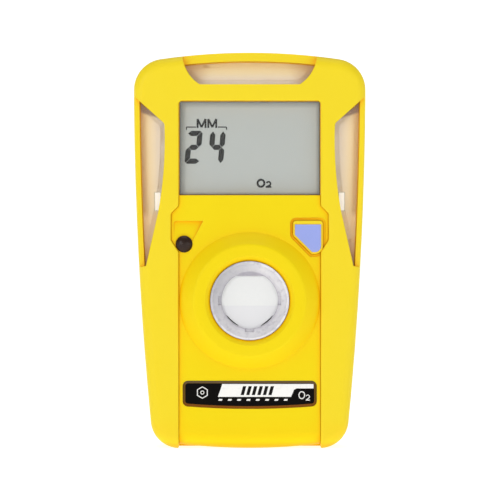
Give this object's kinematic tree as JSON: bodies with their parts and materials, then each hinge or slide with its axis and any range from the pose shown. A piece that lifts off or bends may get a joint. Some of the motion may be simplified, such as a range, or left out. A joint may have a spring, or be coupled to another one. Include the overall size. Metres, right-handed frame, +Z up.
{
  "type": "portable gas detector",
  "caption": "Pocket single-gas alarm with a two-shell case, soft bumper, display, push button, clear alarm lenses, sensor boss and a sprung steel belt clip.",
  "frame": {"origin": "centre of the footprint at the base of the case", "axes": "+Z up along the case, +X to the wearer's view right, the display and sensor face -Y, the clip is on +Y"},
  "size_m": [0.051, 0.041, 0.087],
  "materials": {
    "bumper_yellow": "soft satin overmould",
    "shell_yellow": "satin moulded",
    "button_yellow": "soft satin",
    "button_lavender": "satin",
    "lens_clear": "polished clear plastic",
    "window_clear": "polished clear plastic",
    "retainer_clear": "polished clear plastic",
    "reflector_tan": "satin",
    "display_grey": "matte polariser",
    "carrier_grey": "matte",
    "zebra_grey": "matte",
    "board_green": "solder mask",
    "chip_black": "matte",
    "screw_steel": "plated",
    "insert_brass": "knurled",
    "contact_gold": "plated",
    "switch_body": "stamped cover",
    "plunger_black": "matte",
    "buzzer_black": "matte",
    "seal_black": "matte",
    "outlet_black": "gloss",
    "led_white": "gloss",
    "sensor_white": "matte",
    "filter_white": "porous matte",
    "label_brown": "gloss",
    "label_print": "gloss print",
    "label_blank": "satin film",
    "battery_sleeve": "shrink sleeve",
    "nickel_strip": "nickel",
    "motor_steel": "satin",
    "weight_steel": "sintered",
    "clip_steel": "tumbled stainless",
    "spring_steel": "drawn wire"
  },
  "bodies": {
    "case": {"front_bumper": "bumper_yellow", "front_shell": "shell_yellow", "rear_shell": "shell_yellow", "alarm_lens_top": "lens_clear", "alarm_lens_left": "lens_clear", "alarm_lens_right": "lens_clear", "display_window": "window_clear", "sensor_retainer": "retainer_clear", "alarm_reflector_top": "reflector_tan", "alarm_reflector_left": "reflector_tan", "alarm_reflector_right": "reflector_tan", "display_glass": "display_grey", "display_carrier": "carrier_grey", "zebra_strip": "zebra_grey", "main_board": "board_green", "sensor_board": "board_green", "board_chips": "chip_black", "board_header": "chip_black", "infrared_module": "chip_black", "board_screws": "screw_steel", "case_screws": "screw_steel", "sensor_board_screws": "screw_steel", "clip_screw": "screw_steel", "clip_washer": "screw_steel", "case_inserts": "insert_brass", "clip_insert": "insert_brass", "sensor_pins": "contact_gold", "sensor_sockets": "contact_gold", "tact_switch": "switch_body", "buzzer": "buzzer_black", "shell_gasket": "seal_black", "buzzer_gasket": "seal_black", "sensor_gasket": "seal_black", "battery_pad": "seal_black", "motor_boot": "seal_black", "alarm_port_cap": "outlet_black", "alarm_leds": "led_white", "sensor_cell": "sensor_white", "sensor_filter": "filter_white", "label_plate": "label_brown", "label_face": "label_print", "rear_label": "label_blank", "battery_cell": "battery_sleeve", "battery_tabs": "nickel_strip", "motor_can": "motor_steel", "clip_base": "clip_steel", "clip_pin": "clip_steel", "clip_spring": "spring_steel"},
    "button": {"push_button": "button_yellow", "button_inlay": "button_lavender"},
    "plunger": {"switch_plunger": "plunger_black"},
    "lever": {"clip_lever": "clip_steel"},
    "rotor": {"motor_shaft": "motor_steel", "motor_weight": "weight_steel"}
  },
  "joints": [
    {"name": "button_press", "type": "slide", "parent": "case", "child": "button", "axis": [0, 1, 0], "range_m": [0, 0.0004], "stiffness_N_per_m": 4000},
    {"name": "switch_travel", "type": "slide", "parent": "case", "child": "plunger", "axis": [0, 1, 0], "range_m": [0, 0.0004]},
    {"name": "clip_open", "type": "hinge", "parent": "case", "child": "lever", "pos_m": [0, 0.0128, 0.051], "axis": [1, 0, 0], "range_deg": [0, 32], "stiffness_Nm_per_rad": 0.2, "springref_deg": -51.57, "deforming": ["clip_spring"]},
    {"name": "rotor_spin", "type": "hinge", "parent": "case", "child": "rotor", "pos_m": [0, -0.0072, 0.0115], "axis": [1, 0, 0], "continuous": true}
  ],
  "couplings": [
    {"joint": "switch_travel", "follows": "button_press", "ratio": 1}
  ]
}
